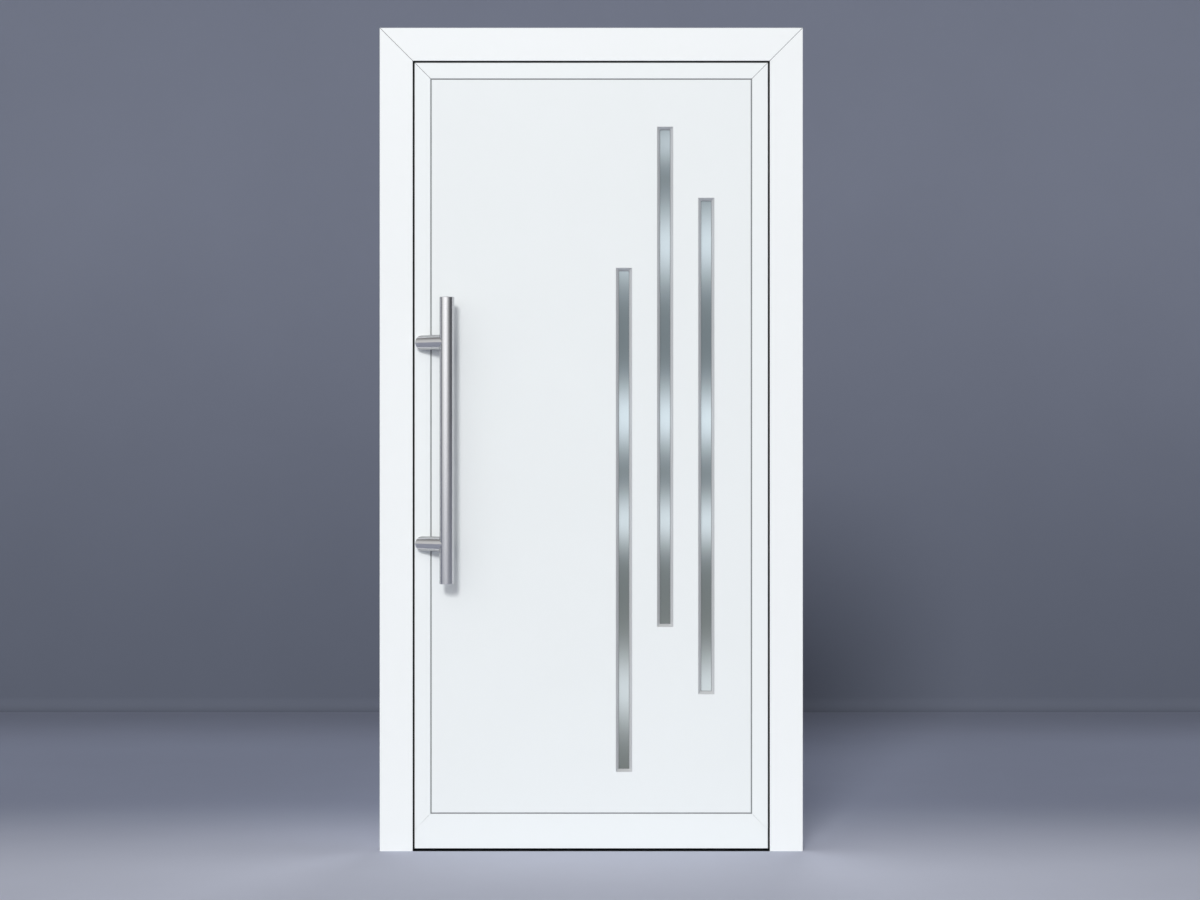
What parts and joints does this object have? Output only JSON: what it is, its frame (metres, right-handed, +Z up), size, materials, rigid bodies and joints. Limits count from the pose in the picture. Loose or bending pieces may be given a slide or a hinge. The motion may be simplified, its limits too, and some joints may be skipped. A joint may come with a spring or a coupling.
{
  "type": "front door with frame",
  "caption": "White aluminium entrance door in its frame, with a flush panel, narrow upright glass strips and a round upright bar handle; the leaf swings indoors.",
  "frame": {"origin": "middle of the sill's underside, in the middle of the frame's depth", "axes": "+X to the right seen from outside, +Y indoors, through the wall, +Z up"},
  "size_m": [1.1, 0.2089, 2.14],
  "materials": {
    "white_frame": "fine satin powder coat, white",
    "white_leaf": "fine satin powder coat, white",
    "white_panel": "fine satin powder coat, white",
    "white_trim": "satin powder coat, white",
    "white_hinge": "satin powder coat, white",
    "grey_gasket": "matt grey",
    "black_rubber": "matt black",
    "dark_polyamide": "matt black glass-filled polyamide",
    "foam": "rigid foam",
    "grey_sill": "dark anodised",
    "glass": "clear, lightly tinted",
    "spacer": "black warm-edge spacer",
    "brushed_steel": "satin brushed",
    "lock_steel": "zinc plated"
  },
  "bodies": {
    "frame": {"frame_head": "white_frame", "frame_jamb_hinge": "white_frame", "frame_jamb_lock": "white_frame", "frame_seal": "black_rubber", "frame_thermal_breaks": "dark_polyamide", "hinge_frame_part_bottom": "white_hinge", "hinge_frame_part_middle": "white_hinge", "hinge_frame_part_top": "white_hinge", "hinge_pins": "lock_steel", "strike_plates": "lock_steel", "threshold": "grey_sill"},
    "leaf": {"drop_seal": "black_rubber", "glass_left": "glass", "glass_middle": "glass", "glass_right": "glass", "glass_spacers": "spacer", "glass_trim_left": "white_trim", "glass_trim_middle": "white_trim", "glass_trim_right": "white_trim", "glass_trims_inside": "white_trim", "glazing_bead_bottom": "white_leaf", "glazing_bead_hinge": "white_leaf", "glazing_bead_lock": "white_leaf", "glazing_bead_top": "white_leaf", "hinge_leaf_part_bottom": "white_hinge", "hinge_leaf_part_middle": "white_hinge", "hinge_leaf_part_top": "white_hinge", "leaf_rail_bottom": "white_leaf", "leaf_rail_top": "white_leaf", "leaf_stile_hinge": "white_leaf", "leaf_stile_lock": "white_leaf", "leaf_thermal_breaks": "dark_polyamide", "lever_handle": "brushed_steel", "lock_bolts": "lock_steel", "lock_faceplate": "lock_steel", "panel_core": "foam", "panel_gasket": "grey_gasket", "panel_inner_skin": "white_panel", "panel_outer_skin": "white_panel", "pull_bar": "brushed_steel", "pull_bar_caps": "brushed_steel", "pull_support_lower": "brushed_steel", "pull_support_upper": "brushed_steel", "rosettes_inside": "brushed_steel", "thumb_turn": "brushed_steel"}
  },
  "joints": [
    {"name": "leaf_hinge", "type": "hinge", "parent": "frame", "child": "leaf", "pos_m": [0.481, 0.0535, 1.07], "axis": [0, 0, -1], "range_deg": [0, 105]}
  ]
}
